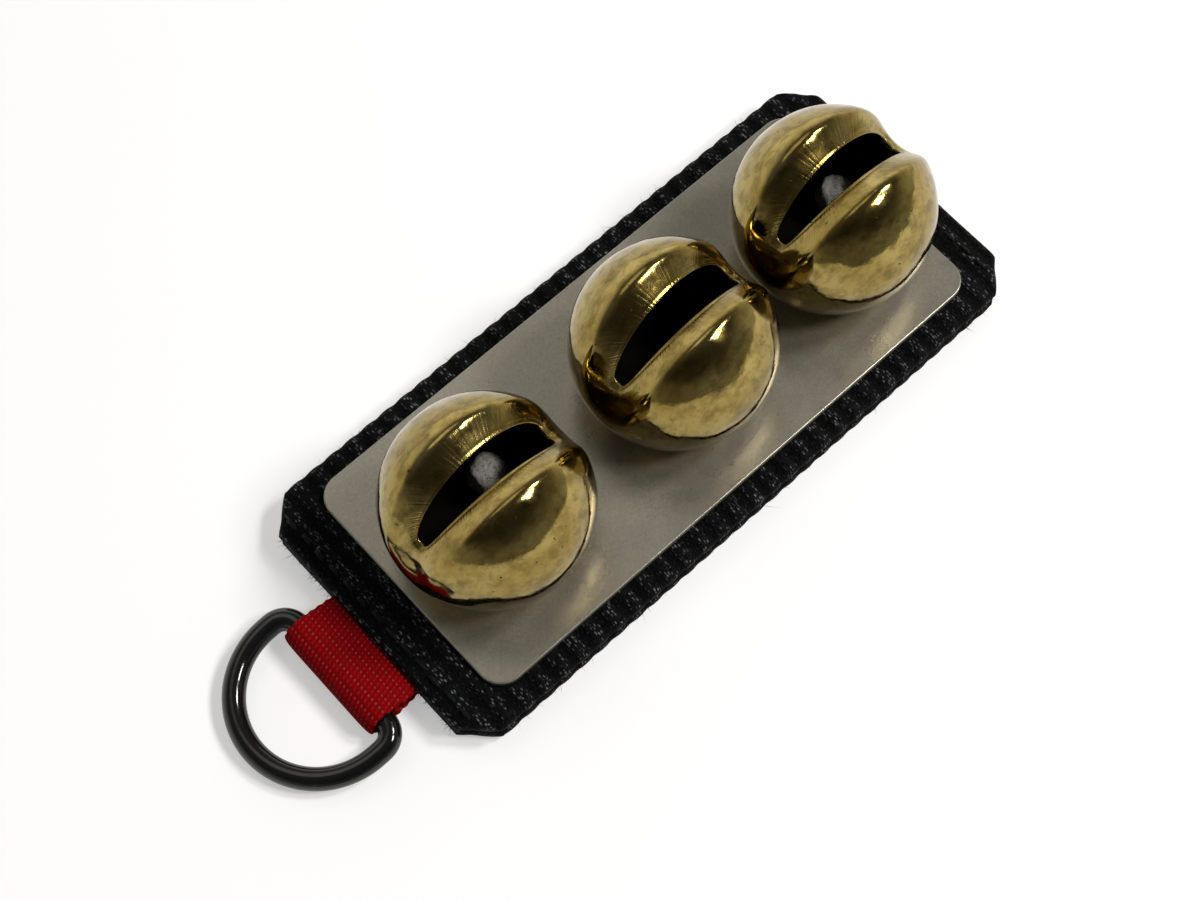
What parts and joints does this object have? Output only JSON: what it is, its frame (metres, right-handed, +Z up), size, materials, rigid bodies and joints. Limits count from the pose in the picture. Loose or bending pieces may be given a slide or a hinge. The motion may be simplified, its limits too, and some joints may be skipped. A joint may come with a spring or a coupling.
{
  "type": "strap-mounted jingle bell set",
  "caption": "Row of slotted round brass crotal bells riveted to a metal plate on a webbing pad, with a D-ring on a tape tab for hanging or clipping.",
  "frame": {"origin": "middle of the webbing pad's underside, which lies on the table", "axes": "+Z up through the bells, +X along the strap away from the D-ring, +Y across the strap"},
  "size_m": [0.1403, 0.0508, 0.0346],
  "materials": {
    "brass": "hand-polished sheet brass with light tarnish",
    "plate": "satin nickel-plated steel, faintly scratched",
    "webbing": "black ribbed nylon webbing",
    "tape": "red ribbed woven tape",
    "thread": "black bonded sewing thread",
    "ring": "gloss black plated steel wire",
    "pellet": "rough grey cast shot",
    "rivet": "dull plated steel"
  },
  "bodies": {
    "pad": {"webbing_lower": "webbing", "webbing_upper": "webbing", "mounting_plate": "plate", "ring_tab": "tape", "ring_end_stitching": "thread", "far_end_stitching": "thread", "bell_1_upper_shell": "brass", "bell_1_lower_shell": "brass", "bell_1_rivet": "rivet", "bell_1_washer": "rivet", "bell_2_upper_shell": "brass", "bell_2_lower_shell": "brass", "bell_2_rivet": "rivet", "bell_2_washer": "rivet", "bell_3_upper_shell": "brass", "bell_3_lower_shell": "brass", "bell_3_rivet": "rivet", "bell_3_washer": "rivet"},
    "ring": {"d_ring": "ring"},
    "pellet_1": {"bell_1_clapper": "pellet"},
    "pellet_2": {"bell_2_clapper": "pellet"},
    "pellet_3": {"bell_3_clapper": "pellet"}
  },
  "joints": [
    {"name": "ring_swing", "type": "hinge", "parent": "pad", "child": "ring", "pos_m": [-0.064, -0.0021, 0.0031], "axis": [0, 1, 0], "range_deg": [-132, 138]},
    {"name": "pellet_1_roll", "type": "hinge", "parent": "pad", "child": "pellet_1", "pos_m": [-0.0335, -0.0016, 0.0072], "axis": [0, 0, 1], "continuous": true},
    {"name": "pellet_2_roll", "type": "hinge", "parent": "pad", "child": "pellet_2", "pos_m": [0.0034, -0.0016, 0.0072], "axis": [0, 0, 1], "continuous": true},
    {"name": "pellet_3_roll", "type": "hinge", "parent": "pad", "child": "pellet_3", "pos_m": [0.0368, -0.0016, 0.0072], "axis": [0, 0, 1], "continuous": true}
  ]
}
